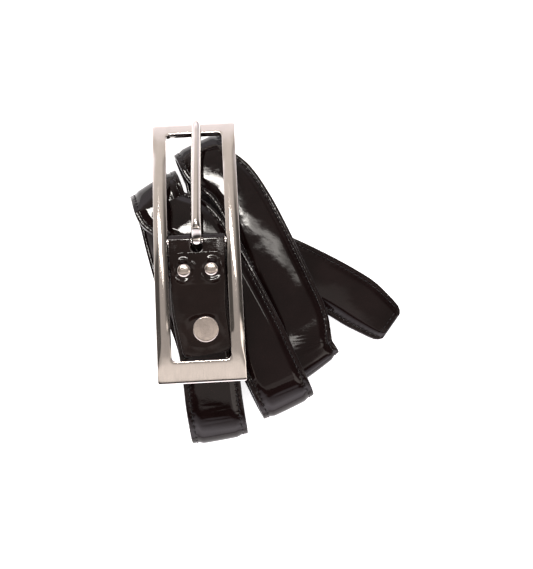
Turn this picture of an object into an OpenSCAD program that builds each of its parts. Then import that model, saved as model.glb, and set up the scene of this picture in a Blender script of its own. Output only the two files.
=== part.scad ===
// Patent leather belt with a long arched rectangular buckle, coiled and lying flat.
// Units mm. +Z up. The belt rests on the plane z = 0; the origin is on that plane
// near the middle of the coil. The buckle's long side runs close to Y.

/* [Strap] */
// width of the belt strap
belt_w = 25.4; // [20:0.2:32]
// full thickness over the padded crown
strap_t = 3.4; // [3:0.1:4]
// raised height of the padded crown over the margins
crown = 0.9; // [0.4:0.1:1.2]
// thickness of the patent cover
cover_t = 0.95; // [0.6:0.05:1.2]
// thickness of the lining leather
lining_t = 0.95; // [0.6:0.05:1.2]
// distance of the stitch rows from the strap edge
stitch_in = 2.3; // [1.6:0.1:3.2]
// diameter of the adjustment holes
hole_d = 3.6; // [3:0.1:5]

/* [Buckle] */
// outer width of the buckle frame
frame_w = 39; // [34:0.5:48]
// outer length of the buckle frame
frame_l = 124; // [100:1:140]
// thickness of the buckle frame
frame_t = 3.5; // [2.5:0.1:4.5]
// width of the window in the frame
window_w = 26.6; // [26.2:0.1:30]
// height of the bar at the free end of the frame
top_bar = 5; // [4:0.1:8]
// height of the bar at the strap end of the frame
bottom_bar = 9.6; // [6:0.1:12]
// radius of the lengthwise arch of the frame
arch_r = 310; // [250:5:600]
// diameter of the centre bar
bar_d = 3; // [2:0.1:3.2]
// width of the prong
prong_w = 4.8; // [3.5:0.1:5]

/* [Chape] */
// width of the folded leather chape at the bar
chape_w = 25.6; // [22:0.2:25.8]
// width of the chape at its end
chape_w2 = 21.8; // [18:0.2:25]
// thickness of the chape leather
chape_t = 1.5; // [1:0.1:2]
// width of the slot for the prong
slot_w = 5.4; // [5.3:0.1:8]
// diameter of the two small rivet heads
rivet_d = 6; // [4.5:0.1:7]
// diameter of the large flat rivet head
disc_d = 11.6; // [9:0.1:13]

/* [Hidden] */
h = belt_w / 2;
ht = strap_t / 2;
// gap between layers and round the rivets
g = 0.05;
// moves the whole belt so that the origin is below the middle of its outline
shift = [1.8, -3.3, 0];
// angle of the buckle's long side from Y
turn = 3.2;
patent = [0.07, 0.065, 0.07];
metal = [0.8, 0.77, 0.74];

// ---------- route of the strap: [x, y, z, width angle, roll] at mid thickness
// a bend is [centre x, centre y, z from, z to, heading, angle from, angle to,
//            roll at ends, roll in the middle, stretch, angle left out at the start]
function bend(x, y, z0, z1, hd, p0, p1, ro, rm, k, d = 0) =
  let(r = (z1 - z0) / 2, q = abs(r), s = sign(r))
  [for (i = [0:4]) let(t = i / 4, a = -90 + d + (180 - d) * t, e = k * q * cos(a),
      tx = -k * sin(a), tz = s * cos(a), n = sqrt(tx * tx + tz * tz))
    [x + e * cos(hd), y + e * sin(hd), (z0 + z1) / 2 + r * sin(a),
     p0 + (p1 - p0) * t, ro + (rm - ro) * (1 - pow(2 * t - 1, 2)),
     tx / n * cos(hd), tx / n * sin(hd), tz / n]];
P = concat(
  [[-31.6, 16.4, 29.6, 3.2, 0], [-31.2, 8.4, 29.2, 3.2, 0],
   [-30.7, 0.4, 28.2, 3.2, 0], [-29.9, -13.6, 25.8, 4, 0],
   [-26.8, -30.6, 22.6, 6.5, 0], [-24.2, -47.5, 19.8, 9, 0]],
   bend(-24.6, -47.8, 18.8, 1.7, -80, 10, 10, 0, 3, 2.6, 28),
   [[-29.5, -25, 1.7, 14, 0], [-38.5, -1, 1.7, 16, 0], [-46.5, 25, 1.7, 18, 0]],
   bend(-50, 37.5, 1.7, 19.6, 110, 20, 40, 0, 8, 1.6),
   [[-36, 28.5, 21, 41, 0], [-23, 10.5, 20, 31, 2], [-12.5, -9, 19.2, 28, 4],
     [-3.5, -27, 18.2, 26, 4], [1.3, -37.5, 17.4, 25, 2]],
   bend(1.4, -37.9, 17.4, 1.7, -64, 26, 26, 0, 0, 2.5, 28),
   [[-3, -14, 1.7, 26, 0], [-15, 21, 1.7, 24, 0], [-26, 50, 1.7, 24, 0]],
   bend(-29, 61.2, 1.7, 17.6, 115, 25, 30, 0, 0, 1.55),
   [[-17.5, 50.4, 17.2, 32, 0], [-9.6, 38.4, 16.6, 30, 0], [-2.6, 24.7, 16.1, 28, 0],
     [4.5, 9.5, 15.2, 27, 0], [10.5, -3.5, 14.2, 26, 0], [15.5, -15, 13.4, 26, -1]],
   bend(14.9, -26.6, 13.4, 5.2, -54, 34, 42, -3, -3, 3.4, 38),
   [[0, -16.5, 5.9, 48, -2], [-14, -6, 6.3, 54, 0], [-32.4, 7.3, 6.7, 60, 0]],
   bend(-46.5, 20, 6.8, 13.2, 158, 68, 76, 0, 0, 1),
   [[-30, 22, 12.2, 72, 0], [-14, 20, 11.6, 68, 0], [3, 14.5, 10.4, 64, 3],
     [21, 6.5, 8, 60, 8], [40, -3.7, 5.4, 57, 10], [59, -17.2, 3.6, 56, 8]]);
M = len(P) - 1;
function p5(i) = [P[i][0] + shift[0], P[i][1] + shift[1], P[i][2], P[i][3], P[i][4]];
function seg(i) = norm([P[i+1][0] - P[i][0], P[i+1][1] - P[i][1], P[i+1][2] - P[i][2]]);
function slope(i) = (p5(i + 1) - p5(i)) / seg(i);
function der(i) = let(d = i == 0 ? slope(0) : i == M ? slope(M - 1)
    : (slope(i - 1) * seg(i) + slope(i) * seg(i - 1)) / (seg(i - 1) + seg(i)))
  len(P[i]) > 5 ? [P[i][5], P[i][6], P[i][7], d[3], 0] : d;
D = [for (i = [0:M]) der(i)];
// place on the route: [position, width direction, travel direction, normal]
function at(i, t) = let(l = seg(i), a = p5(i), b = p5(i + 1), m = D[i] * l, n = D[i+1] * l,
    t2 = t * t, t3 = t2 * t,
    v = (2*t3 - 3*t2 + 1) * a + (t3 - 2*t2 + t) * m + (3*t2 - 2*t3) * b + (t3 - t2) * n,
    w = (6*t2 - 6*t) * a + (3*t2 - 4*t + 1) * m + (6*t - 6*t2) * b + (3*t2 - 2*t) * n,
    T0 = [w[0], w[1], w[2]], T = T0 / norm(T0),
    W0 = [cos(v[3]) * cos(v[4]), sin(v[3]) * cos(v[4]), sin(v[4])],
    W1 = W0 - (W0 * T) * T, W = W1 / norm(W1))
  [[v[0], v[1], v[2]], W, T, cross(T, W)];
function isb(i) = len(P[i]) > 5 && len(P[i + 1]) > 5;
// tip outline: [distance left to the end, half width]
TIP = [[20, 12.7], [12, 11.7], [6, 10.6], [3, 9.8], [1.4, 8.8], [0.5, 7.8], [0, 7]];
lt = seg(M - 1);
R = concat(
  [for (i = [1:M-2]) for (j = [0:(isb(i) ? 2 : 1)]) concat(at(i, j / (isb(i) ? 3 : 2)), [1])],
  [concat(at(M - 1, 0), [1])],
  [for (q = TIP) if (q[0] < lt) concat(at(M - 1, 1 - q[0] / lt), [q[1] / 12.7])]);

// solid swept along rings [x, W, T, N, width scale] from a list of [u, n] points;
// faces that look at each other across a gap are split along the same diagonal
function fwd(p, q) = q[0] > p[0] || (q[0] == p[0] && q[1] > p[1]);
module sweep(rings, pr) {
  m = len(pr); c = len(rings) - 1;
  polyhedron(
    points = [for (r = rings) for (q = pr) r[0] + r[1] * (q[0] * r[4]) + r[3] * q[1]],
    faces = concat(
      [for (i = [0:c-1]) for (j = [0:m-1]) for (k = [0, 1])
        let(a = i * m + j, b = i * m + (j + 1) % m)
        fwd(pr[j], pr[(j + 1) % m]) ? (k == 0 ? [a, b, b + m] : [a, b + m, a + m])
          : (k == 0 ? [a, b, a + m] : [b, b + m, a + m])],
      [[for (j = [0:m-1]) m - 1 - j]],
      [[for (j = [0:m-1]) c * m + j]]), convexity = 20);
}
mg = ht - crown;            // margin height
ci = ht - cover_t;          // inner face of the cover under the crown
mi = max(mg - cover_t, -ht + lining_t + 4 * g);   // inner face under the margin
li = -ht + lining_t;        // upper face of the lining

// upright frame at a route place
module on(i, t, u = 0) {
  f = at(i, t);
  x = f[0] + f[1] * u;
  multmatrix([[f[1][0], f[2][0], f[3][0], x[0]], [f[1][1], f[2][1], f[3][1], x[1]],
    [f[1][2], f[2][2], f[3][2], x[2]], [0, 0, 0, 1]]) children();
}
// adjustment holes: [segment, position]
HOLES = [[M - 3, 0.5], [M - 4, 0.2], [M - 5, 0.0], [M - 11, 0.5], [M - 12, 0.4]];
LR = [[1, 0.75, -6.1], [1, 0.75, 6.1]];   // small rivets
DR = [3, 0.6, 1.2];                        // large rivet
post_r = 1.2;
disc_r = 1.6;
module punch() {
  for (q = HOLES) on(q[0], q[1]) cylinder(d = hole_d, h = 8, center = true, $fn = 40);
  rivet_holes();
}
module rivet_holes() {
  for (q = LR) on(q[0], q[1], q[2]) cylinder(r = post_r + g, h = 12, center = true, $fn = 40);
  on(DR[0], DR[1], DR[2]) cylinder(r = disc_r + g, h = 12, center = true, $fn = 40);
}

module strap_cover() color(patent) difference() {
  sweep(R, concat(
    [[-h, -ht], [-h, mg - 0.4], [-h + 0.5, mg], [-h + 2.9, mg], [-7.6, ht - 0.3], [-4, ht],
     [4, ht], [7.6, ht - 0.3], [h - 2.9, mg], [h - 0.5, mg], [h, mg - 0.4], [h, -ht]],
    [[h - cover_t, -ht], [h - cover_t, mi], [h - 3.6, mi], [4, ci],
     [-4, ci], [-h + 3.6, mi], [-h + cover_t, mi], [-h + cover_t, -ht]]));
  punch();
}
module strap_filler() color([0.45, 0.4, 0.35]) difference() {
  sweep(R, [[-h + cover_t + g, li + g], [-h + cover_t + g, mi - g], [-h + 3.6, mi - g],
    [-4, ci - g], [4, ci - g], [h - 3.6, mi - g], [h - cover_t - g, mi - g],
    [h - cover_t - g, li + g]]);
  punch();
}
module strap_lining() color([0.16, 0.14, 0.14]) difference() {
  sweep(R, [[-h + cover_t + g, -ht], [-h + cover_t + g, li], [h - cover_t - g, li],
    [h - cover_t - g, -ht]]);
  punch();
}
RS = [for (i = [0:len(R)-5]) R[i]];
thread = 0.5;
module stitch_row(s) let(u = s * (h - stitch_in), n = mg + g)
  sweep(RS, [[u - thread / 2, n], [u - thread / 2, n + thread / 2],
    [u + thread / 2, n + thread / 2], [u + thread / 2, n]]);
module stitch_left() color([0.12, 0.1, 0.11]) stitch_row(-1);
module stitch_right() color([0.12, 0.1, 0.11]) stitch_row(1);
module stitch_tip() color([0.12, 0.1, 0.11])
  on(M - 1, 1 - 2.3 / lt) for (k = [-1, 0, 1])
    translate([k * 2.4, 0, ht + 0.2]) cube([2, 0.5, 0.3], center = true);

// ---------- folded chape: lower leaf, fold round the bar, upper leaf
ci0 = ht + g;               // inner face of a leaf above mid strap
co0 = ht + g + chape_t;     // outer face
slot_end = 6.2;             // end of the prong's slot from the bar
// rings of the upper and lower leaf: [segment, position]
UP = [[0, 0.5], [1, 0], [1, 0.5], [2, 0], [2, 0.5], [3, 0], [3, 0.33], [3, 0.66], [4, 0], [4, 0.15], [4, 0.24]];
UW = [0, 0.1, 0.25, 0.4, 0.45, 0.55, 0.65, 0.8, 0.95, 1, 2];   // taper at each ring of UP
LO = [[0, 0.5], [1, 0], [1, 0.5], [2, 0], [2, 0.5], [3, 0], [3, 0.33], [3, 0.66], [3, 0.9]];
function lw(k) = chape_w / 2 - k * (chape_w - chape_w2) / 2;
function leafring(i, t, s, w) = let(f = at(i, t))
  [f[0] + f[3] * (s * ci0), f[0] + f[3] * (s * co0), f[1], w];
B0 = at(0, 0);
CH = concat(
  [for (i = [len(LO)-1:-1:0]) leafring(LO[i][0], LO[i][1], -1, lw(0.1 * i))],
  [for (a = [-90:-22.5:-270]) let(d = B0[3] * sin(a) + B0[2] * cos(a))
    [B0[0] + d * ci0, B0[0] + d * co0, B0[1], chape_w / 2]],
  [for (i = [0:len(UP)-1]) leafring(UP[i][0], UP[i][1], 1, lw(UW[i]))]);
module chape() color(patent) difference() {
  c = len(CH) - 1;
  polyhedron(
    points = [for (r = CH) for (q = [[0, -1], [0, 1], [1, 1], [1, -1]]) r[q[0]] + r[2] * (q[1] * r[3])],
    faces = concat(
      [for (i = [0:c-1]) for (j = [0:3]) for (k = [0, 1])
        let(a = i * 4 + j, b = i * 4 + (j + 1) % 4)
        k == 0 ? [a, b + 4, b] : [a, a + 4, b + 4]],
      [[0, 1, 2, 3]], [[c*4 + 3, c*4 + 2, c*4 + 1, c*4]]), convexity = 10);
  on(0, 0) translate([-slot_w / 2, -8, -8]) cube([slot_w, slot_end - slot_w / 2 + 8, 16]);
  on(0, 0) translate([0, slot_end - slot_w / 2, -8]) cylinder(d = slot_w, h = 16, $fn = 40);
  rivet_holes();
}

// ---------- buckle, drawn about the bar axis and turned into place
bar_at = [P[0][0], P[0][1], P[0][2]] + shift;
module buckle() translate(bar_at) rotate([0, 0, turn]) children();
fc = -2;         // middle of the frame, along the frame from the bar
rise = 0.4;      // middle of the frame above the bar
corner = 2.4;    // radius of the window's corners
bar_l = window_w + 8;
// section of a rail: [up from the middle, in from the outer side]
RAIL = [[-frame_t / 2, 0.4], [-frame_t / 2 + 0.4, 0], [frame_t / 2 - 0.9, 0],
  [frame_t / 2 - 0.3, 0.8], [frame_t / 2, 2.4]];
half_arch = asin(frame_l / 2 / arch_r);
module window() {
  x = window_w / 2;
  y0 = fc - frame_l / 2 + bottom_bar;
  y1 = fc + frame_l / 2 - top_bar;
  translate([-x, y0 + corner, -20]) cube([2 * x, y1 - y0 - 2 * corner, 40]);
  translate([-x + corner, y0, -20]) cube([2 * x - 2 * corner, y1 - y0, 40]);
  for (i = [-1, 1]) for (y = [y0 + corner, y1 - corner])
    translate([i * (x - corner), y, -20]) cylinder(r = corner, h = 40, $fn = 40);
}
module bar() rotate([0, 90, 0]) cylinder(d = bar_d, h = bar_l, center = true, $fn = 60);
module buckle_frame() color(metal) buckle() difference() {
  translate([0, fc, rise - arch_r]) rotate([0, -90, 0]) rotate([0, 0, -half_arch])
    rotate_extrude(angle = 2 * half_arch, $fn = 400) polygon(concat(
      [for (q = RAIL) [arch_r + q[0], frame_w / 2 - q[1]]],
      [for (i = [len(RAIL)-1:-1:0]) [arch_r + RAIL[i][0], RAIL[i][1] - frame_w / 2]]));
  window();
  bar();
}
module centre_bar() color(metal) buckle() bar();

// prong: [along, up, half width, height]
PR = [[0, 2.4, 2.3, 1.1], [2, 2.9, 2.35, 1.3], [4.5, 3.3, 2.4, 1.9], [7.5, 3.3, 2.4, 2.3],
  [14, 2.7, 2.4, 2.4], [24, 1.6, 2.4, 2.4], [36, 0.1, 2.35, 2.4], [48, -1.8, 2.3, 2.4],
  [55, -2.95, 2.3, 2.3], [58.5, -3.4, 2.2, 2.1], [60.5, -3.7, 1.9, 1.8], [61.6, -3.8, 1.3, 1.4],
  [62, -3.8, 0.7, 0.8]];
// half-round section: [share of the half width, share of the height]
HR = [[-1, 0.12], [-0.94, 0.45], [-0.7, 0.78], [-0.35, 0.96], [0, 1], [0.35, 0.96],
  [0.7, 0.78], [0.94, 0.45], [1, 0.12], [0.9, 0], [-0.9, 0]];
ring_r = 3.15;
// the prong is loose in its slot and leans this far from the frame's long axis
lean = 1.3;
module prong() color(metal) buckle() difference() {
  union() {
    m = len(HR); c = len(PR) - 1;
    rotate([0, 0, -lean]) polyhedron(
      points = [for (r = PR) for (q = HR) [q[0] * r[2], r[0], r[1] - 0.1 + q[1] * r[3]]],
      faces = concat(
        [for (i = [0:c-1]) for (j = [0:m-1]) for (k = [0, 1])
          let(a = i * m + j, b = i * m + (j + 1) % m)
          k == 0 ? [a, b + m, b] : [a, a + m, b + m]],
        [[for (j = [0:m-1]) j]], [[for (j = [0:m-1]) c * m + m - 1 - j]]));
    rotate([0, 90, 0]) cylinder(r = ring_r, h = prong_w, center = true, $fn = 80);
  }
  rotate([0, 90, 0]) cylinder(r = bar_d / 2 + g, h = 12, center = true, $fn = 80);
}

// ---------- rivets through chape and strap, closed by a flat base
base_t = 0.7;
base_d = 5.4;
disc_base_d = 9;
// dome and flat head outlines: [share of the radius, height]
DOME = [[1, 0], [1, 0.35], [0.93, 0.8], [0.75, 1.2], [0.45, 1.5], [0, 1.6]];
FLAT = [[1, 0], [1, 0.45], [0.96, 0.7], [0.88, 0.8], [0, 0.85]];
module head(q, post, d, outline) on(q[0], q[1], q[2]) {
  translate([0, 0, -co0 - g]) cylinder(r = post, h = 2 * co0 + 3 * g, $fn = 60);
  translate([0, 0, co0 + g]) rotate_extrude($fn = 60)
    polygon(concat([[0, 0]], [for (p = outline) [p[0] * d / 2, p[1]]]));
}
module base(q, d) on(q[0], q[1], q[2]) translate([0, 0, -co0 - 1.2 * g - base_t])
  cylinder(d = d, h = base_t, $fn = 60);
module rivet_head_left() color(metal) head(LR[0], post_r, rivet_d, DOME);
module rivet_head_right() color(metal) head(LR[1], post_r, rivet_d, DOME);
module rivet_base_left() color(metal) base(LR[0], base_d);
module rivet_base_right() color(metal) base(LR[1], base_d);
module disc_head() color(metal) head(DR, disc_r, disc_d, FLAT);
module disc_base() color(metal) base(DR, disc_base_d);

strap_cover();
strap_filler();
strap_lining();
stitch_left();
stitch_right();
stitch_tip();
chape();
buckle_frame();
centre_bar();
prong();
rivet_head_left();
rivet_head_right();
rivet_base_left();
rivet_base_right();
disc_head();
disc_base();
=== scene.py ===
import bpy
import bmesh
from math import sin, cos, asin, atan2, pi, radians as rd, sqrt, exp
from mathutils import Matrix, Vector, noise

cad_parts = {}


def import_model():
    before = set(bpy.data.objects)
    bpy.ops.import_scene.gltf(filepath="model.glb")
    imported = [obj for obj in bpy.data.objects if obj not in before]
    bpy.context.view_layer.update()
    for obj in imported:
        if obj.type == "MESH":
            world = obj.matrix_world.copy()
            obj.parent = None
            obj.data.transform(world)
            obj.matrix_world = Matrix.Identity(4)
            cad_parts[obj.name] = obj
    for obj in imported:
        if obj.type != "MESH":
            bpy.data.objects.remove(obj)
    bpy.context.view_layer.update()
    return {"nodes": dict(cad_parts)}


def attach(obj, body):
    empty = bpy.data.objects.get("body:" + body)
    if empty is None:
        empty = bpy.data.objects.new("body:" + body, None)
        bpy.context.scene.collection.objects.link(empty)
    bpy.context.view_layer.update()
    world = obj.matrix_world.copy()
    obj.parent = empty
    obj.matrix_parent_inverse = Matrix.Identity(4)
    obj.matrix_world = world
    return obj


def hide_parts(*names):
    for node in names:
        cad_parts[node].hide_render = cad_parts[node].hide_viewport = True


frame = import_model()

MM = 0.001                       # sizes below are in mm, the frame is in metres

# ------------------------------------------------------------- sizes of the strap
OFF = (1.8, -3.3)                # moves the whole belt so that the origin is below its middle
H = 12.7                         # half width
HT = 1.7                         # half thickness
MG = HT - 0.9                    # outer face of the flat margins, below the crown
MARGIN_W = 2.85                  # width of the flat margins
SHOULDER_W = 2.3                 # width of the slope from a margin to the crown
PITCH = 2.4                      # stitch pitch
STITCH_IN = 2.3                  # stitch row's distance from the edge
SU = H - STITCH_IN               # stitch row's offset from the middle
EDGE_R = 0.55                    # rounding of the outer edges

# ------------------------------------------------------------- strap route
def bend(x, y, z0, z1, hd, p0, p1, ro, rm, k, d=0):
    """five stations of a fold about (x, y) that turns from height z0 to z1, bulging along
    heading hd: width angles p0 to p1, roll ro at the ends and rm in the middle, stretch k,
    and d degrees left out at the start"""
    r = (z1 - z0) / 2
    s = 1 if r > 0 else -1
    out = []
    for i in range(5):
        t = i / 4
        a = rd(-90 + d + (180 - d) * t)
        e = k * abs(r) * cos(a)
        tx = -k * sin(a)
        tz = s * cos(a)
        n = sqrt(tx * tx + tz * tz)
        out.append([x + e * cos(rd(hd)), y + e * sin(rd(hd)), (z0 + z1) / 2 + r * sin(a),
                    p0 + (p1 - p0) * t, ro + (rm - ro) * (1 - (2 * t - 1) ** 2),
                    tx / n * cos(rd(hd)), tx / n * sin(rd(hd)), tz / n])
    return out

# stations at mid thickness: [x, y, z, width angle, roll], a bend's with its direction too
P = ([[-31.6, 16.4, 29.6, 3.2, 0], [-31.2, 8.4, 29.2, 3.2, 0],
      [-30.7, 0.4, 28.2, 3.2, 0], [-29.9, -13.6, 25.8, 4, 0],
      [-26.8, -30.6, 22.6, 6.5, 0], [-24.2, -47.5, 19.8, 9, 0]]
     + bend(-24.6, -47.8, 18.8, 1.7, -80, 10, 10, 0, 3, 2.6, 28)
     + [[-29.5, -25, 1.7, 14, 0], [-38.5, -1, 1.7, 16, 0], [-46.5, 25, 1.7, 18, 0]]
     + bend(-50, 37.5, 1.7, 19.6, 110, 20, 40, 0, 8, 1.6)
     + [[-36, 28.5, 21, 41, 0], [-23, 10.5, 20, 31, 2], [-12.5, -9, 19.2, 28, 4],
        [-3.5, -27, 18.2, 26, 4], [1.3, -37.5, 17.4, 25, 2]]
     + bend(1.4, -37.9, 17.4, 1.7, -64, 26, 26, 0, 0, 2.5, 28)
     + [[-3, -14, 1.7, 26, 0], [-15, 21, 1.7, 24, 0], [-26, 50, 1.7, 24, 0]]
     + bend(-29, 61.2, 1.7, 17.6, 115, 25, 30, 0, 0, 1.55)
     + [[-17.5, 50.4, 17.2, 32, 0], [-9.6, 38.4, 16.6, 30, 0], [-2.6, 24.7, 16.1, 28, 0],
        [4.5, 9.5, 15.2, 27, 0], [10.5, -3.5, 14.2, 26, 0], [15.5, -15, 13.4, 26, -1]]
     + bend(14.9, -26.6, 13.4, 5.2, -54, 34, 42, -3, -3, 3.4, 38)
     + [[0, -16.5, 5.9, 48, -2], [-14, -6, 6.3, 54, 0], [-32.4, 7.3, 6.7, 60, 0]]
     + bend(-46.5, 20, 6.8, 13.2, 158, 68, 76, 0, 0, 1)
     + [[-30, 22, 12.2, 72, 0], [-14, 20, 11.6, 68, 0], [3, 14.5, 10.4, 64, 3],
        [21, 6.5, 8, 60, 8], [40, -3.7, 5.4, 57, 10], [59, -17.2, 3.6, 56, 8]])
for p in P:
    p[0] += OFF[0]
    p[1] += OFF[1]
BENDS = [6, 14, 24, 32, 43, 51]  # first station of each bend
M = len(P) - 1
SEG = [Vector([P[i + 1][k] - P[i][k] for k in range(3)]).length for i in range(M)]
SLO = [[(P[i + 1][k] - P[i][k]) / SEG[i] for k in range(5)] for i in range(M)]

def derivative(i):
    """change of the five station values per mm of route"""
    if i == 0:
        d = list(SLO[0])
    elif i == M:
        d = list(SLO[-1])
    else:
        d = [(SLO[i - 1][k] * SEG[i] + SLO[i][k] * SEG[i - 1]) / (SEG[i - 1] + SEG[i]) for k in range(5)]
    if len(P[i]) > 5:
        d = [P[i][5], P[i][6], P[i][7], d[3], 0]
    return d
DER = [derivative(i) for i in range(M + 1)]

def square_up(X, W, T):
    """position, width direction, travel direction and the outer face's normal"""
    T = T.normalized()
    W = (W - W.dot(T) * T).normalized()
    return X, W, T, T.cross(W)

def at(i, t):
    """the route at fraction t of segment i"""
    t2 = t * t
    t3 = t2 * t
    v = []
    w = []
    for k in range(5):
        a, b, m, n = P[i][k], P[i + 1][k], DER[i][k] * SEG[i], DER[i + 1][k] * SEG[i]
        v.append((2*t3 - 3*t2 + 1) * a + (t3 - 2*t2 + t) * m + (3*t2 - 2*t3) * b + (t3 - t2) * n)
        w.append((6*t2 - 6*t) * a + (3*t2 - 4*t + 1) * m + (6*t - 6*t2) * b + (3*t2 - 2*t) * n)
    W = Vector((cos(rd(v[3])) * cos(rd(v[4])), sin(rd(v[3])) * cos(rd(v[4])), sin(rd(v[4]))))
    return square_up(Vector(v[:3]), W, Vector(w[:3]))

SAMPLES = 24                     # table rows per segment

def arc_table():
    """the route as a dense table of (arc length, frame), starting at the bar"""
    rows = []
    s = 0.0
    last = None
    for i, j in [(i, j) for i in range(M) for j in range(SAMPLES)] + [(M - 1, SAMPLES)]:
        f = at(i, j / SAMPLES)
        if last is not None:
            s += (f[0] - last).length
        rows.append((s, f))
        last = f[0]
    return rows
TAB = arc_table()
STOT = TAB[-1][0]                # arc length at the tip
SST = [TAB[i * SAMPLES][0] for i in range(M + 1)]   # arc length at stations

def fr(s):
    """the route's frame at arc length s"""
    lo, hi = 0, len(TAB) - 1
    if s <= 0:
        return TAB[0][1]
    if s >= STOT:
        return TAB[-1][1]
    while hi - lo > 1:
        m = (lo + hi) // 2
        if TAB[m][0] <= s:
            lo = m
        else:
            hi = m
    a, b = TAB[lo], TAB[hi]
    t = (s - a[0]) / (b[0] - a[0])
    X, W, T = [a[1][k].lerp(b[1][k], t) for k in range(3)]
    return square_up(X, W, T)

S0 = SST[1]                      # the strap begins here, inside the chape
# the tip's outline: (distance from its end, half width)
TIP = [(20, H), (16, 12.35), (12, 11.7), (6, 10.6), (3, 9.8), (1.4, 8.8), (0.5, 7.8), (0, 7)]

def half(s):
    """half width of the strap at arc length s"""
    d = STOT - s
    if d >= TIP[0][0]:
        return H
    for (d0, w0), (d1, w1) in zip(TIP, TIP[1:]):
        if d >= d1:
            return w1 + (w0 - w1) * (d - d1) / (d0 - d1)
    return TIP[-1][1]

# ------------------------------------------------------------- mesh helpers
def sm(x):
    """smooth step from 0 to 1"""
    x = min(1, max(0, x))
    return x * x * (3 - 2 * x)

def nz(x, y, z, f):
    """smooth noise of frequency f"""
    return noise.noise(Vector((x * f, y * f, z * f)))

def quarter_drop(r, radius):
    """how far an edge rounded with this radius drops at distance r from it"""
    return radius * (1 - sqrt(max(0, 1 - (1 - r / radius) ** 2))) if r < radius else 0.0

def mesh_obj(name, verts, faces, uvs=None, body="belt"):
    me = bpy.data.meshes.new(name)
    me.from_pydata([tuple(v) for v in verts], [], faces)
    if uvs:
        uv = me.uv_layers.new(name="along")
        for lp in me.loops:
            uv.data[lp.index].uv = uvs[lp.vertex_index]
    me.polygons.foreach_set("use_smooth", [True] * len(me.polygons))
    me.update()
    ob = bpy.data.objects.new(name, me)
    bpy.context.scene.collection.objects.link(ob)
    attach(ob, body)
    return ob

def sweep_faces(rings, m, base=0, flip=False):
    """faces of a closed sweep: `rings` rings of m points each, with both end caps"""
    F = []
    for i in range(rings - 1):
        for j in range(m):
            a, b = base + i * m + j, base + i * m + (j + 1) % m
            F.append((a, b, b + m, a + m))
    F.append(tuple(base + j for j in range(m - 1, -1, -1)))
    F.append(tuple(base + (rings - 1) * m + j for j in range(m)))
    return [f[::-1] for f in F] if flip else F

def clean(ob, weld=0.0):
    """points every face outwards, after joining points closer than `weld`"""
    bm = bmesh.new()
    bm.from_mesh(ob.data)
    if weld:
        bmesh.ops.remove_doubles(bm, verts=bm.verts, dist=weld)
    bmesh.ops.recalc_face_normals(bm, faces=bm.faces)
    bm.to_mesh(ob.data)
    bm.free()
    for p in ob.data.polygons:
        p.use_smooth = True
    return ob

# ------------------------------------------------------------- surface relief
# creases pressed in by handling: [arc length, depth, half length, offset across, slant]
CREASE = []
for k, b in enumerate(BENDS):
    for j in range(5):
        CREASE.append((SST[b + 2] - 11 - 1.9 * j + 0.5 * sin(7 * j + k), 0.05 / (1 + 0.5 * j),
                       7 - 0.8 * j, 2.5 * sin(3 * j + k), 0.06 * sin(2 * j + k)))
# the strap is pressed a little flatter between these arc lengths, before and in the fifth bend
PRESS_FROM = SST[BENDS[4] - 1] - 6
PRESS_TO = SST[BENDS[4] + 2]

def relief(s, u):
    """outer face height of the cover at arc length s and offset u"""
    a = abs(u)
    n = MG + (HT - MG - 0.14 * min(1, a / 8) ** 2) * sm((H - MARGIN_W - a) / SHOULDER_W)
    # groove under the thread, deeper at each stitch hole, with a low ridge on either side
    hole = abs(abs(s % PITCH - PITCH / 2) - PITCH / 2)
    n -= 0.10 * exp(-((a - SU) / 0.42) ** 2)
    n -= 0.13 * exp(-((a - SU) / 0.75) ** 2) * exp(-(hole / 0.33) ** 2)
    n += 0.05 * exp(-((a - SU - 0.95) / 0.5) ** 2) + 0.06 * exp(-((a - SU + 1.15) / 0.6) ** 2)
    n += 0.035 * nz(s, u, 3.1, 0.055) * sm((H - a) / 3) + 0.018 * nz(s, u, 9.7, 0.16)
    n -= 0.6 * sm((s - PRESS_FROM) / 20) * sm((PRESS_TO - s) / 9)
    for s0, dp, hl, uo, sl in CREASE:
        if abs(s - s0) < 3 and abs(u - uo) < hl + 2:
            n -= dp * exp(-((s - s0 - sl * u) / 0.45) ** 2) * sm((hl + 1.5 - abs(u - uo)) / 3)
    return n

# ------------------------------------------------------------- strap cover
def strap_rings():
    """arc lengths of the cover's sections, closer together at the rounded end"""
    out = []
    s = S0
    step = PITCH / 6
    while s < STOT - 3:
        out.append(s)
        s += step
    return out + [STOT - d for d in (3, 2.6, 2.2, 1.8, 1.4, 1.1, 0.8, 0.5, 0.25, 0.1, 0)]
RINGS = strap_rings()
# offsets across the outer face, as parts of the half width
LEFT_U = [-1, -0.998, -0.985, -0.96, -0.935, -0.91, -0.885, -0.862, -0.84, -0.818, -0.8, -0.775, -0.74,
          -0.68, -0.6, -0.52, -0.43, -0.34, -0.25, -0.16, -0.07]
ACROSS_U = LEFT_U + [0.0] + [-x for x in reversed(LEFT_U)]
# the side wall: (distance in from the edge, height), with the seam of the turned edge
WALL = [(0.12, -HT), (0, -HT + 0.12), (0, -0.75), (0.16, -0.62), (0, -0.5), (0, 0.15)]

def cover_section(s):
    """outline of the cover at arc length s: (offset, height)"""
    hw = half(s)
    ring = [(e - hw, n) for e, n in WALL]
    for q in ACROSS_U:
        u = q * H
        ring.append((u * hw / H, relief(s, u) - quarter_drop(H - abs(u), EDGE_R)))
    ring += [(hw - e, n) for e, n in reversed(WALL)]
    # turned edge returns on the lining side
    ring += [(hw - 2.2, -HT - 0.03), (hw - 2.3, -HT + 0.1), (0.0, -HT + 0.12)]
    return ring + [(-hw + 2.3, -HT + 0.1), (-hw + 2.2, -HT - 0.03)]

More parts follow.
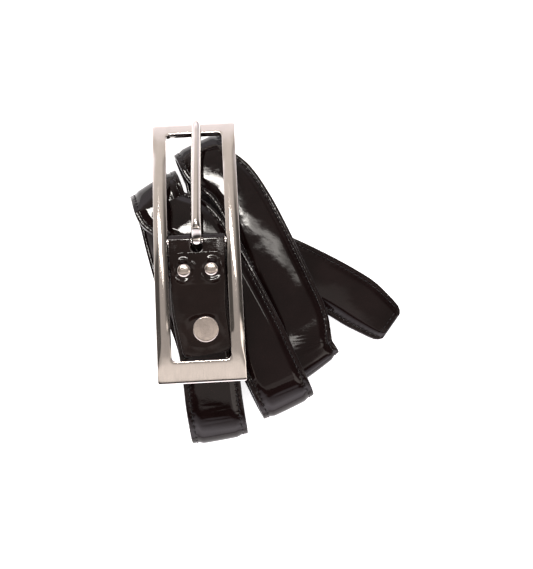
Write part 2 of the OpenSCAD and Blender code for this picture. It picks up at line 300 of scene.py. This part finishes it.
def cover():
    V, UV = [], []
    end_r = 0.9                                  # rounding of the tip's end
    for s in RINGS:
        X, W, T, N = fr(s)
        d = STOT - s
        end = sqrt(max(0.0, 1 - (1 - d / end_r) ** 2)) if d <= end_r else 1.0
        for u, n in cover_section(s):
            n *= 0.35 + 0.65 * end if n > 0 else 0.6 + 0.4 * end
            V.append((X + W * u + N * n) * MM)
            UV.append((s * MM, u * MM))
    return mesh_obj("cover", V, sweep_faces(len(RINGS), len(V) // len(RINGS)), UV)

cover_ob = cover()
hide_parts("strap_cover", "strap_filler")

# ------------------------------------------------------------- lining
def lining():
    V, UV = [], []
    rings = [s for s in RINGS[::2] if s < STOT - 2.6] + [STOT - 2.3]
    across = [-1, -0.97, -0.6, -0.2, 0.2, 0.6, 0.97, 1]
    for s in rings:
        X, W, T, N = fr(s)
        hw = half(s) - 2.1                       # between the turned edges
        ring = [(q, -HT - (0.0 if abs(q) == 1 else 0.10) + 0.02 * nz(s, q * 9, 5, 0.3)) for q in across]
        for q, n in ring + [(1, -HT + 0.3), (-1, -HT + 0.3)]:
            V.append((X + W * (q * hw) + N * n) * MM)
            UV.append((s * MM, q * hw * MM))
    return mesh_obj("lining", V, sweep_faces(len(rings), len(across) + 2, flip=True), UV)

lining_ob = lining()
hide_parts("strap_lining")

# ------------------------------------------------------------- stitches
def stitches(name, place):
    """place: list of (centre, along, up) for one stitch each"""
    V, F = [], []
    L, R = 0.86, 0.21                            # half length and thread radius
    ends = [(1, -0.20, 0.10), (0.8, -0.02, 0.17), (0.4, 0.10, R)]
    prof = [(-L * q, z, r) for q, z, r in ends] + [(0, 0.13, R)]
    prof += [(L * q, z, r) for q, z, r in reversed(ends)]
    k = 8
    for c, a, up in place:
        side = up.cross(a).normalized()
        F += sweep_faces(len(prof), k, len(V))
        for x, z, r in prof:
            for j in range(k):
                t = 2 * pi * j / k
                tw = r + 0.03 * sin(3 * t + x * 7)   # the twist of the thread
                V.append((c + a * x + up * (z + tw * sin(t)) + side * (tw * 1.1 * cos(t))) * MM)
    return mesh_obj(name, V, F)

def seam(s, side):
    X, W, T, N = fr(s)
    return X + W * (side * (half(s) - STITCH_IN))

def row(side):
    """stitches along one edge"""
    out = []
    n = int(S0 // PITCH) + 4
    while (n + 0.5) * PITCH < STOT - 3.4:
        s = (n + 0.5) * PITCH
        n += 1
        X, W, T, N = fr(s)
        a = (seam(s + 1, side) - seam(s - 1, side)).normalized()
        lean = W * (0.05 * side)
        centre = X + W * (side * SU * half(s) / H) + N * (relief(s, SU) + 0.05)
        out.append((centre, (a + lean).normalized(), N))
    return out

def tip_row():
    """five stitches across the tip"""
    X, W, T, N = fr(STOT - 2.5)
    return [(X + W * (k * PITCH) + N * (HT - 0.12), W, N) for k in (-2, -1, 0, 1, 2)]

st_l = stitches("stitches_left", row(-1))
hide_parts("stitch_left")
st_r = stitches("stitches_right", row(1))
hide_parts("stitch_right")
st_t = stitches("stitches_tip", tip_row())
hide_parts("stitch_tip")

# ------------------------------------------------------------- chape
CHT = 1.5                                    # thickness of the chape's leather
CIN = HT + 0.05                              # its inner face, from the strap's middle
COUT = CIN + CHT                             # its outer face
CHAPE_HALF, FOLD_HALF = 12.0, 12.8           # half width of the leaves and of the fold
SLOT, SLOT_END = 2.7, 6.2                    # half width and end of the prong's slot
CORNER = 3.0                                 # rounding of the leaves' corners
EASE = 0.38                                  # rounding of their edges

def station(i, t):
    """arc length at fraction t of segment i"""
    return SST[i] + t * (SST[i + 1] - SST[i])
UP_END, LO_END, TAPER0 = station(4, 0.24), station(3, 0.9), station(2, 0)
# the rivets' places: (arc length, offset)
LR = [(station(1, 0.75), -6.1), (station(1, 0.75), 6.1)]
DR = (station(3, 0.6), 1.2)

def leaf_half(s, end):
    """half width of a leaf that ends at arc length `end`"""
    w = CHAPE_HALF
    if s > TAPER0:
        w -= 1.1 * sm((s - TAPER0) / (end - TAPER0))
    w += (FOLD_HALF - CHAPE_HALF) * sm((14 - s) / 9)
    d = end - s
    if d < CORNER:
        w -= CORNER - sqrt(max(0, CORNER ** 2 - (CORNER - d) ** 2))
    return w

def slot_half(s):
    if s < SLOT_END - SLOT:
        return SLOT
    if s < SLOT_END:
        return sqrt(max(0, SLOT ** 2 - (s - SLOT_END + SLOT) ** 2))
    return 0.0

def chape_top(s, u, w):
    """height of the upper leaf's outer face"""
    n = COUT - 0.30 * (abs(u) / w) ** 5
    # leather pressed in under each small rivet, with a puckered ring round it
    for rs, ru in LR:
        r = sqrt((s - rs) ** 2 + (u - ru) ** 2)
        a = atan2(u - ru, s - rs)
        n -= 0.36 * exp(-(r / 3.8) ** 4)
        n += (0.20 + 0.12 * sin(5 * a + 1.3 * rs + ru)) * exp(-((r - 4.9) / 0.8) ** 2)
    # the same, softer, round the large one
    r = sqrt((s - DR[0]) ** 2 + (u - DR[1]) ** 2)
    a = atan2(u - DR[1], s - DR[0])
    n -= 0.22 * exp(-(r / 6.6) ** 6)
    n += 0.05 * (1 + sin(5 * a)) * exp(-((r - 7.4) / 0.9) ** 2)
    # a low wave just beyond the small rivets
    n += 0.07 * exp(-((s - LR[0][0] - 5.6 + 0.25 * sin(0.5 * u)) / 0.8) ** 2) * sm((9 - abs(u)) / 4)
    return n + 0.05 * nz(s, u, 7.7, 0.09) + 0.03 * nz(s, u, 1.1, 0.25)

def leaf_stations(end):
    """arc lengths of a leaf's sections, with all those that the slot and the corners need"""
    step = 0.4
    round_end = SLOT_END - SLOT
    out, s = [], 0.0
    while s < end - CORNER:
        out.append(s)
        s += step
    out = [x for x in out if not (round_end - 0.2 < x < SLOT_END + 0.2)]
    out += [round_end + SLOT * sin(rd(q)) for q in range(0, 90, 9)] + [SLOT_END]
    out += [end - CORNER * (1 - sin(rd(q))) for q in range(0, 91, 10)]
    return sorted(set(round(x, 4) for x in out))

def chape_ring(kind, s):
    """centre, width direction, outward direction, half width, slot and outer height at s,
    which is an arc length on a leaf and an angle round the bar in the fold"""
    if kind == "fold":
        X, W, T, N = fr(0)
        def top(u):
            return (COUT - 0.2 * (abs(u) / FOLD_HALF) ** 5 + 0.05 * nz(0, u, 2, 0.2)
                    - 0.3 * exp(-((s + 247 + 2 * sin(u)) / 7) ** 2))
        return X, W, N * sin(rd(s)) + T * cos(rd(s)), FOLD_HALF, SLOT, top
    X, W, T, N = fr(s)
    if kind == "up":
        hw = leaf_half(s, UP_END)
        return X, W, N, hw, slot_half(s), lambda u: chape_top(s, u, hw)
    hw = leaf_half(s, LO_END)
    return X, W, -N, hw, slot_half(s), lambda u: COUT - 0.1 * (abs(u) / hw) ** 5

def chape_section(hw, sh, top):
    """half a section, from the slot or the middle to the edge and back: (offset, height)"""
    pts = []
    count = 25
    for j in range(count):
        q = j / (count - 1)
        q = 0.5 - 0.5 * cos(pi * q) if sh > 0 else sin(pi / 2 * q)
        u = sh + (hw - sh) * q
        drop = quarter_drop(hw - u, EASE)
        if sh > 0:
            drop += quarter_drop(u - sh, EASE)
        pts.append((u, top(u) - drop))
    mid = (CIN + COUT) / 2 - 0.1
    pts += [(hw, mid), (hw - 0.15, CIN + 0.02)]
    pts += [(sh + (hw - sh) * q, CIN) for q in (0.66, 0.33)]
    return pts + [(sh + 0.1 * (sh > 0), CIN + 0.02), (sh, mid if sh > 0 else CIN + 0.3)]

def chape_faces(base, m, slots, side):
    """faces of one half; where neither ring has a slot the halves join and need no inner wall"""
    F = []
    for i in range(len(slots) - 1):
        joined = slots[i] == 0 and slots[i + 1] == 0
        for j in range(m - 2 if joined else m):
            a, b = base + i * m + j, base + i * m + (j + 1) % m
            F.append((a, b, b + m, a + m))
    F.append(tuple(base + j for j in range(m - 1, -1, -1)))
    F.append(tuple(base + (len(slots) - 1) * m + j for j in range(m)))
    return F if side > 0 else [f[::-1] for f in F]

def chape():
    V, F, UV = [], [], []
    rings = [("lo", s) for s in reversed(leaf_stations(LO_END))]
    rings += [("fold", a) for a in range(-99, -262, -9)]
    rings += [("up", s) for s in leaf_stations(UP_END)]
    for side in (-1, 1):
        base = len(V)
        slots = []
        for kind, s in rings:
            X, W, out, hw, sh, top = chape_ring(kind, s)
            along = {"lo": -s, "fold": 0.0, "up": s}[kind]
            section = chape_section(hw, sh, top)
            for u, n in section:
                V.append((X + W * (side * u) + out * n) * MM)
                UV.append((along * MM, side * u * MM))
            slots.append(sh)
        F += chape_faces(base, len(section), slots, side)
    return clean(mesh_obj("chape_leather", V, F, UV), 2e-6)

chape_ob = chape()
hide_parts("chape")

# ------------------------------------------------------------- rivets
def turned(name, place, prof, seg=56):
    """solid of revolution about the leather's normal; prof runs from the axis outwards and back"""
    s, u = place
    X, W, T, N = fr(s)
    V = []
    for r, n in prof:
        for j in range(seg):
            a = 2 * pi * j / seg
            V.append((X + W * (u + r * cos(a)) + T * (r * sin(a)) + N * n) * MM)
    return mesh_obj(name, V, sweep_faces(len(prof), seg, flip=True))

def dome(name, place, r):
    """a small rivet: low dome, rounded rim and shank"""
    c = COUT
    cap = r - 0.5
    prof = [(0.15 + cap * t, c + 1.55 - 0.28 * t * t) for t in (0, 0.12, 0.25, 0.4, 0.55, 0.7, 0.8, 0.9)]
    rim = (10, 25, 40, 55, 70, 82, 90)           # degrees
    prof += [(cap + 0.5 * sin(rd(a)), c + 1.24 - 0.62 * (1 - cos(rd(a)))) for a in rim]
    prof += [(r - 0.02, c + 0.2), (r - 0.12, c - 0.1), (r - 0.5, c - 0.32), (1.2, c - 0.35)]
    prof += [(1.2, -COUT), (0.15, -COUT)]
    return turned(name, place, prof)

def disc(name, place, r):
    """the large rivet: flat face, rounded rim and shank"""
    c = COUT - 0.05
    face = r - 0.9
    parts = [i / 10 for i in range(10)] + [0.97]
    prof = [(0.2 + face * t, c + 0.84 - 0.06 * t ** 3) for t in parts]
    prof += [(r - 0.62, c + 0.76), (r - 0.5, c + 0.79), (r - 0.38, c + 0.78)]
    prof += [(r - 0.2, c + 0.68), (r - 0.07, c + 0.5), (r, c + 0.25)]
    prof += [(r - 0.05, c - 0.05), (r - 0.3, c - 0.18), (1.6, c - 0.2), (1.6, -COUT), (0.2, -COUT)]
    return turned(name, place, prof, 72)

def flat_base(name, place, r):
    c = -COUT - 0.06
    prof = [(0.2, c), (r - 0.1, c), (r, c - 0.15), (r, c - 0.45), (r - 0.12, c - 0.62)]
    prof += [(r - 0.4, c - 0.69), (r * 0.55, c - 0.62), (r * 0.5, c - 0.55), (0.2, c - 0.52)]
    return turned(name, place, prof)

heads = [dome("rivet_cap_left", LR[0], 3.0), dome("rivet_cap_right", LR[1], 3.0)]
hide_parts("rivet_head_left")
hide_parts("rivet_head_right")
heads.append(disc("disc_cap", DR, 5.8))
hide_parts("disc_head")
for nm, q, r in (("rivet_base_left", LR[0], 2.7), ("rivet_base_right", LR[1], 2.7), ("disc_base", DR, 4.5)):
    o = flat_base(nm + "_cap", q, r)
    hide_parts(nm)
    heads.append(o)

# ------------------------------------------------------------- buckle
BAR = Vector(P[0][:3])                       # the centre bar's middle
TURN, LEAN = rd(3.2), rd(-1.3)               # the buckle's turn from Y, and the prong's from it
FW, FL, FT = 39.0, 124.0, 3.5                # frame: width, length, thickness
WIN, TOPB, BOTB = 26.6, 5.0, 9.6             # window width, top bar, bottom bar
ARCH, RISE, FC = 310.0, 0.4, -2.0            # arch radius, its height over the bar, its middle
WIN_R, OUT_R = 2.4, 0.7                      # rounding of the window's and the outer corners

def in_buckle(x, y, z):
    return (BAR + Vector((x * cos(TURN) - y * sin(TURN), x * sin(TURN) + y * cos(TURN), z))) * MM

def frame_outline():
    """pairs of points round the window and the outside, each with how far it is crowned"""
    x0, x1, y1 = WIN / 2, FW / 2, FL / 2
    yt, yb = y1 - TOPB, y1 - BOTB                # window ends above and below the middle
    steps = 10
    n_rail, n_bar = ((150, 26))
    pairs = []
    def corner(sx, sy, a0):
        cy = yt if sy > 0 else yb
        for j in range(steps + 1):
            a = rd(a0 + 90 * j / steps)
            pairs.append(((sx * (x0 - WIN_R) + WIN_R * cos(a), sy * (cy - WIN_R) + WIN_R * sin(a)),
                          (sx * (x1 - OUT_R) + OUT_R * cos(a), sy * (y1 - OUT_R) + OUT_R * sin(a)), 0))
    def line(n, a, b, c, d, rail):
        for j in range(1, n):
            t = j / n
            near = min(t, 1 - t) * abs(a[1] - b[1])
            pairs.append(((a[0] + (b[0] - a[0]) * t, a[1] + (b[1] - a[1]) * t),
                          (c[0] + (d[0] - c[0]) * t, c[1] + (d[1] - c[1]) * t), rail * sm((near - 1) / 16)))
    xi, xo, yo = x0 - WIN_R, x1 - OUT_R, y1 - OUT_R
    corner(1, 1, 0)
    line(n_bar, (xi, yt), (-xi, yt), (xo, y1), (-xo, y1), 0)
    corner(-1, 1, 90)
    line(n_rail, (-x0, yt - WIN_R), (-x0, -yb + WIN_R), (-x1, yo), (-x1, -yo), 1)
    corner(-1, -1, 180)
    line(n_bar, (-xi, -yb), (xi, -yb), (-xo, -y1), (xo, -y1), 0)
    corner(1, -1, 270)
    line(n_rail, (x0, -yb + WIN_R), (x0, yt - WIN_R), (x1, -yo), (x1, yo), 1)
    return pairs

def frame_top(q, f):
    """height of the top at q across it: flat on the bars (f = 0), crowned on the rails (f = 1)"""
    rail = FT / 2 - 0.03 - 0.78 * abs(2 * q - 1) ** 2.1
    bar = FT / 2 - 0.02 - 0.16 * abs(2 * q - 1) ** 18
    return bar + (rail - bar) * sm(f)

def frame_section(f):
    """(part of the way from the window to the outside, height)"""
    low = -FT / 2
    ring = [(0.0, low + 0.3), (0.0, 0.0), (0.0, frame_top(0, f) - 0.22), (0, frame_top(0, f) - 0.07)]
    ring += [(q, frame_top(q, f)) for q in (0.012, 0.035, 0.07, 0.12, 0.18, 0.25, 0.33, 0.42, 0.5,
                                            0.58, 0.67, 0.75, 0.82, 0.88, 0.93, 0.965, 0.988)]
    ring += [(1, frame_top(1, f) - 0.07), (1.0, frame_top(1, f) - 0.22), (1.0, 0.0), (1.0, low + 0.3)]
    return ring + [(0.985, low + 0.08), (0.94, low), (0.5, low), (0.06, low), (0.015, low + 0.08)]

def frame_mesh():
    V, F = [], []
    pairs = frame_outline()
    for (ix, iy), (ox, oy), f in pairs:
        section = frame_section(f)
        for q, h in section:
            x, y = ix + (ox - ix) * q, iy + (oy - iy) * q
            a = asin(y / ARCH)
            V.append(in_buckle(x, FC + (ARCH + h) * sin(a), RISE - ARCH + (ARCH + h) * cos(a)))
    m, c = len(section), len(pairs)
    for i in range(c):
        for j in range(m):
            d = (i + 1) % c * m
            F.append((i * m + j, i * m + (j + 1) % m, d + (j + 1) % m, d + j))
    return mesh_obj("buckle_frame_polished", V, F, body="buckle")

frame_ob = frame_mesh()
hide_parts("buckle_frame")

# ------------------------------------------------------------- prong
# the body's path: (along, underside, half width, height)
PRONG = [(2, 2.35, 2.32, 1.55), (4.5, 3.2, 2.4, 1.95), (7.5, 3.2, 2.4, 2.3), (14, 2.6, 2.4, 2.4),
         (24, 1.5, 2.4, 2.4), (36, 0.0, 2.35, 2.4), (48, -1.9, 2.3, 2.4), (55, -3.02, 2.3, 2.3),
         (58.5, -3.48, 2.2, 2.1), (60.4, -3.76, 1.9, 1.8), (61.4, -3.86, 1.35, 1.35),
         (61.9, -3.88, 0.75, 0.85)]
UP = Vector((0, 0, 1))

def prong_loop():
    """sections of the loop round the bar: (foot, outward direction, half width, height)"""
    out = []
    for a in range(-215, 86, 12):
        d = Vector((0, -cos(rd(a)), sin(rd(a))))
        out.append((d * 1.56, d, 2.32 - 0.03 * max(0, -190 - a), 1.5))
    return out

def along_prong(k, t, i):
    """value k of PRONG at fraction t after row i, as a smooth curve"""
    p = [PRONG[max(0, min(len(PRONG) - 1, i + o))] for o in (-1, 0, 1, 2)]
    d1 = (p[2][k] - p[0][k]) / max(1e-6, p[2][0] - p[0][0]) * (p[2][0] - p[1][0])
    d2 = (p[3][k] - p[1][k]) / max(1e-6, p[3][0] - p[1][0]) * (p[2][0] - p[1][0])
    t2 = t * t
    t3 = t2 * t
    return (2*t3 - 3*t2 + 1) * p[1][k] + (t3 - 2*t2 + t) * d1 + (3*t2 - 2*t3) * p[2][k] + (t3 - t2) * d2

def prong_body():
    out = []
    for i in range(len(PRONG) - 1):
        span = PRONG[i + 1][0] - PRONG[i][0]
        n = 8 if span > 4 else 4
        for j in range(n):
            foot = Vector((0, PRONG[i][0] + span * (j / n), along_prong(1, j / n, i)))
            out.append((foot, UP, along_prong(2, j / n, i), along_prong(3, j / n, i)))
    y, z, w, h = PRONG[-1]
    return out + [(Vector((0, y, z)), UP, w, h), (Vector((0, 62.0, -3.8)), UP, 0.4, 0.5)]

def prong_mesh():
    section = [(cos(rd(a)), 0.1 + 0.9 * sin(rd(a))) for a in range(0, 181, 9)]
    section += [(-0.96, 0.05), (-0.85, 0.0), (0.0, 0.0), (0.85, 0.0), (0.96, 0.05)]
    path = prong_loop() + prong_body()
    V = []
    for c, d, w, h in path:
        for x, z in section:
            p = c + d * (z * h)
            V.append(in_buckle(x * w - p.y * sin(LEAN), p.y, p.z))
    return clean(mesh_obj("prong_polished", V, sweep_faces(len(path), len(section)), body="prong"))

prong_ob = prong_mesh()
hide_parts("prong")

# ------------------------------------------------------------- shader helpers
def material(name, **sockets):
    m = bpy.data.materials.new(name)
    m.use_nodes = True
    b = m.node_tree.nodes["Principled BSDF"]
    for k, v in sockets.items():
        b.inputs[k.replace("_", " ")].default_value = v
    return m, m.node_tree, b

def add(nt, kind, **props):
    n = nt.nodes.new(kind)
    for k, v in props.items():
        setattr(n, k, v)
    return n

def feed(nt, n, **sockets):
    """links outputs to a node's inputs and sets the plain values"""
    for k, v in sockets.items():
        socket = n.inputs[k.replace("_", " ")]
        if isinstance(v, bpy.types.NodeSocket):
            nt.links.new(v, socket)
        else:
            socket.default_value = v
    return n

def object_coords(nt):
    return add(nt, "ShaderNodeTexCoord").outputs["Object"]

def noise_tex(nt, vec, scale, detail=3, rough=0.5, dist=0.0):
    n = add(nt, "ShaderNodeTexNoise")
    feed(nt, n, Vector=vec, Scale=scale, Detail=detail, Roughness=rough, Distortion=dist)
    return n.outputs["Fac"]

def cells(nt, vec, scale):
    n = add(nt, "ShaderNodeTexVoronoi")
    return feed(nt, n, Vector=vec, Scale=scale).outputs["Distance"]

def ramp(nt, fac, stops):
    r = add(nt, "ShaderNodeValToRGB")
    e = r.color_ramp.elements
    while len(e) < len(stops):
        e.new(0.5)
    for i, (p, c) in enumerate(stops):
        e[i].position = p
        e[i].color = (*c, 1)
    nt.links.new(fac, r.inputs["Fac"])
    return r.outputs["Color"]

def math_node(nt, op, *values):
    n = add(nt, "ShaderNodeMath", operation=op)
    for socket, v in zip(n.inputs, values):
        if isinstance(v, (int, float)):
            socket.default_value = v
        else:
            nt.links.new(v, socket)
    return n.outputs[0]

def mul(nt, a, b):
    return math_node(nt, "MULTIPLY", a, b)

def to_range(nt, v, a, b, c, d, kind="LINEAR"):
    """v from a..b to c..d, held at the ends"""
    n = add(nt, "ShaderNodeMapRange", interpolation_type=kind)
    return feed(nt, n, Value=v, From_Min=a, From_Max=b, To_Min=c, To_Max=d).outputs["Result"]

def smooth_range(nt, v, a, b, c, d):
    return to_range(nt, v, a, b, c, d, "SMOOTHSTEP")

def band(nt, v, a, b, c, d):
    """1 where v is between b and c, falling to 0 at a and d"""
    return mul(nt, smooth_range(nt, v, a, b, 0, 1), smooth_range(nt, v, c, d, 1, 0))

def mix_colour(nt, fac, a, b):
    """a where fac is 0 and b where it is 1"""
    n = add(nt, "ShaderNodeMix", data_type="RGBA")
    nt.links.new(fac, n.inputs["Factor"])
    for socket, v in ((n.inputs[6], a), (n.inputs[7], b)):
        if isinstance(v, tuple):
            socket.default_value = (*v, 1)
        else:
            nt.links.new(v, socket)
    return n.outputs[2]

def bump(nt, b, parts):
    """bumps one over another: (height, distance in m, strength)"""
    last = None
    for h, dist, strength in parts:
        n = feed(nt, add(nt, "ShaderNodeBump"), Distance=dist, Strength=strength, Height=h)
        if last:
            nt.links.new(last, n.inputs["Normal"])
        last = n.outputs["Normal"]
    nt.links.new(last, b.inputs["Normal"])

# ------------------------------------------------------------- materials
def patent(name, colour, edge_light):
    """smooth black lacquer with slow waves; the stitched margins are duller and grained"""
    m, nt, b = material(name, Specular_IOR_Level=0.30)
    obj = object_coords(nt)
    uv = add(nt, "ShaderNodeUVMap", uv_map="along").outputs["UV"]
    sep = add(nt, "ShaderNodeSeparateXYZ")
    nt.links.new(uv, sep.inputs[0])
    across = math_node(nt, "ABSOLUTE", sep.outputs["Y"])
    margin = to_range(nt, across, 0.0088, 0.0098, 0, 1)
    edge = to_range(nt, across, 0.0122, 0.01268, 0, 1)
    lighter = tuple(c * 1.9 + 0.002 for c in colour)
    base = ramp(nt, noise_tex(nt, obj, 60, 4), [(0.3, colour), (0.75, lighter)])
    smear = to_range(nt, noise_tex(nt, obj, 260, 5, 0.65), 0.35, 0.8, 0.03, 0.075)
    rough = math_node(nt, "ADD", smear, mul(nt, margin, 0.03))
    feed(nt, b, Base_Color=mix_colour(nt, edge, base, edge_light), Roughness=rough)
    grain = mul(nt, cells(nt, obj, 1900), math_node(nt, "ADD", mul(nt, margin, 0.35), 0.05))
    bump(nt, b, [(noise_tex(nt, obj, 55, 1, 0.4), 0.0009, 0.30),
                 (noise_tex(nt, obj, 210, 2, 0.4, 0.3), 0.00016, 0.25),
                 (grain, 0.00010, 0.5),
                 (noise_tex(nt, obj, 1500, 3, 0.6), 0.00002, 0.2)])
    return m

def lining_mat():
    m, nt, b = material("lining_leather", Specular_IOR_Level=0.35)
    obj = object_coords(nt)
    dark, light = (0.028, 0.024, 0.024), (0.06, 0.052, 0.05)
    colour = ramp(nt, noise_tex(nt, obj, 320, 6, 0.6), [(0.3, dark), (0.7, light)])
    rough = to_range(nt, noise_tex(nt, obj, 500, 4), 0.3, 0.7, 0.42, 0.62)
    feed(nt, b, Base_Color=colour, Roughness=rough)
    bump(nt, b, [(cells(nt, obj, 1400), 0.0002, 0.5), (noise_tex(nt, obj, 300, 4), 0.0003, 0.3)])
    return m

def thread_mat():
    m, nt, b = material("waxed_thread", Specular_IOR_Level=0.3)
    obj = object_coords(nt)
    dark, light = (0.004, 0.0035, 0.0035), (0.014, 0.011, 0.011)
    colour = ramp(nt, noise_tex(nt, obj, 900, 3), [(0.3, dark), (0.75, light)])
    rough = to_range(nt, noise_tex(nt, obj, 1500, 3), 0.3, 0.7, 0.28, 0.5)
    feed(nt, b, Base_Color=colour, Roughness=rough)
    w = add(nt, "ShaderNodeTexWave", wave_type="BANDS", bands_direction="DIAGONAL")
    feed(nt, w, Vector=obj, Scale=900, Distortion=1.5)
    bump(nt, b, [(w.outputs["Fac"], 0.00012, 0.6)])
    return m

def metal(name, colour, rough, mottle, dent):
    """plated metal, brushed along the buckle's length"""
    m, nt, b = material(name, Metallic=1.0)
    obj = object_coords(nt)
    darker = tuple(x * (1 - mottle) for x in colour)
    tone = ramp(nt, noise_tex(nt, obj, 240, 6, 0.65), [(0.3, darker), (0.7, colour)])
    mp = add(nt, "ShaderNodeMapping")
    feed(nt, mp, Vector=obj, Scale=(2600, 160, 900), Rotation=(0, 0, 0.055))
    brush = noise_tex(nt, mp.outputs["Vector"], 1.0, 3, 0.6)
    feed(nt, b, Base_Color=tone, Roughness=to_range(nt, brush, 0.3, 0.75, rough * 0.7, rough * 1.5))
    bump(nt, b, [(brush, 0.00001, 0.25), (noise_tex(nt, obj, 90, 2, 0.4), 0.0006, dent)])
    return m

def dress(m, *objects):
    for ob in objects:
        ob.data.materials.clear()
        ob.data.materials.append(m)
dress(patent("patent_leather", (0.0040, 0.0016, 0.0015), (0.008, 0.0052, 0.0052)), cover_ob)
dress(patent("patent_leather_chape", (0.0056, 0.0026, 0.0020), (0.010, 0.007, 0.006)), chape_ob)
dress(lining_mat(), lining_ob)
dress(thread_mat(), st_l, st_r, st_t)
dress(metal("nickel_plate", (0.80, 0.745, 0.70), 0.09, 0.06, 0.10),
      frame_ob, prong_ob, frame["nodes"]["centre_bar"])
dress(metal("nickel_rivet", (0.74, 0.66, 0.60), 0.17, 0.22, 0.35), *heads)

# ------------------------------------------------------------- floor, light and camera
def floor_piece():
    me = bpy.data.meshes.new("floor")
    q, z = 3.0, -0.0001
    me.from_pydata([(-q, -q, z), (q, -q, z), (q, q, z), (-q, q, z)], [], [(0, 1, 2, 3)])
    ob = bpy.data.objects.new("floor", me)
    bpy.context.scene.collection.objects.link(ob)
    m, nt, b = material("floor_paper", Roughness=0.9, Specular_IOR_Level=0.1, Emission_Strength=0.75,
                        Base_Color=(0.93, 0.93, 0.93, 1), Emission_Color=(1, 1, 1, 1))
    me.materials.append(m)
floor_piece()

WARM, COOL = (1.0, 0.91, 0.85), (0.98, 0.92, 0.98)
# the sky from far to near: (degrees from overhead towards the near side, radiance, tint)
SKY = [(-90, 0.9, COOL), (-55, 1.6, COOL), (-44, 0.75, WARM), (-30, 0.62, WARM), (-16, 0.42, WARM),
       (-4, 0.40, WARM), (7, 0.42, WARM), (9.5, 0.95, WARM), (13.5, 1.0, WARM), (15, 0.05, WARM),
       (25, 0.03, WARM), (30, 0.9, COOL), (42, 1.6, COOL), (60, 3.6, COOL), (90, 1.5, COOL)]

def dimming(nt, ang, side):
    """the sky darkens far away to the right, and to the left above the belt"""
    right = mul(nt, smooth_range(nt, side, -34, -8, 1, 0), smooth_range(nt, ang, -40, -32, 0.55, 1))
    right = mul(nt, right, smooth_range(nt, ang, -4, 0, 1, 0))
    left = mul(nt, band(nt, side, 19, 26, 58, 72), band(nt, ang, -23, -18, 4, 10))
    return mul(nt, math_node(nt, "SUBTRACT", 1.0, mul(nt, right, 0.85)),
               math_node(nt, "SUBTRACT", 1.0, mul(nt, left, 0.8)))

def lamp_panel(nt, ang, side):
    """a slanted bright panel with a weaker glow to its right"""
    tilt = math_node(nt, "ADD", ang, mul(nt, side, 0.35))
    core = mul(nt, band(nt, tilt, -19.6, -18.4, -15.5, -14.3), band(nt, side, 0.5, 3, 16, 22))
    halo = mul(nt, band(nt, tilt, -18.3, -15.6, -14.6, -13.4), band(nt, side, -11, -5, 1, 5))
    return math_node(nt, "ADD", core, mul(nt, halo, 0.16))

def scaled(nt, colour, factor):
    n = add(nt, "ShaderNodeVectorMath", operation="SCALE")
    feed(nt, n, Scale=factor)
    if isinstance(colour, tuple):
        n.inputs[0].default_value = colour
    else:
        nt.links.new(colour, n.inputs[0])
    return n.outputs[0]

def world():
    """a soft studio: radiance by direction. `ang` is the angle from overhead towards the near side,
    `side` from overhead towards the left, in degrees"""
    w = bpy.data.worlds.new("studio")
    bpy.context.scene.world = w
    w.use_nodes = True
    nt = w.node_tree
    sep = add(nt, "ShaderNodeSeparateXYZ")
    nt.links.new(add(nt, "ShaderNodeTexCoord").outputs["Generated"], sep.inputs[0])
    def angle(axis):
        a = math_node(nt, "ARCTAN2", mul(nt, sep.outputs[axis], -1.0), sep.outputs["Z"])
        return mul(nt, a, 180 / pi)
    ang, side = angle("Y"), angle("X")
    stops = [((a + 90) / 180, tuple(v * x for x in tint)) for a, v, tint in SKY]
    sky = ramp(nt, to_range(nt, ang, -90, 90, 0, 1), stops)
    total = scaled(nt, sky, dimming(nt, ang, side))
    # a warm reflector low on the right
    warm = mul(nt, band(nt, ang, -5, 0, 10, 14), band(nt, side, -60, -50, -28, -20))
    for factor, colour in ((lamp_panel(nt, ang, side), (55, 53, 50)), (warm, (1.7, 1.55, 1.42))):
        n = add(nt, "ShaderNodeVectorMath", operation="ADD")
        nt.links.new(total, n.inputs[0])
        nt.links.new(scaled(nt, colour, factor), n.inputs[1])
        total = n.outputs[0]
    # plain white at and below the horizon
    above = smooth_range(nt, sep.outputs["Z"], 0.03, 0.2, 0, 1)
    feed(nt, nt.nodes["Background"], Color=mix_colour(nt, above, (1, 1, 1), total), Strength=1.0)
world()

def camera():
    """looks down at the belt from the near side"""
    elevation, distance = rd(74), 0.4
    d = bpy.data.cameras.new("camera")
    d.sensor_fit = "VERTICAL"
    d.sensor_height = 36
    d.lens = 54.41
    d.clip_start = 0.01
    d.clip_end = 20
    ob = bpy.data.objects.new("camera", d)
    bpy.context.scene.collection.objects.link(ob)
    back = Vector((0, -cos(elevation), sin(elevation)))
    ob.location = Vector((OFF[0] * MM, OFF[1] * MM, 0.015)) + back * distance
    ob.rotation_mode = "QUATERNION"
    ob.rotation_quaternion = (-back).to_track_quat("-Z", "Y")
    bpy.context.scene.camera = ob
camera()
bpy.context.scene.view_settings.view_transform = "Standard"
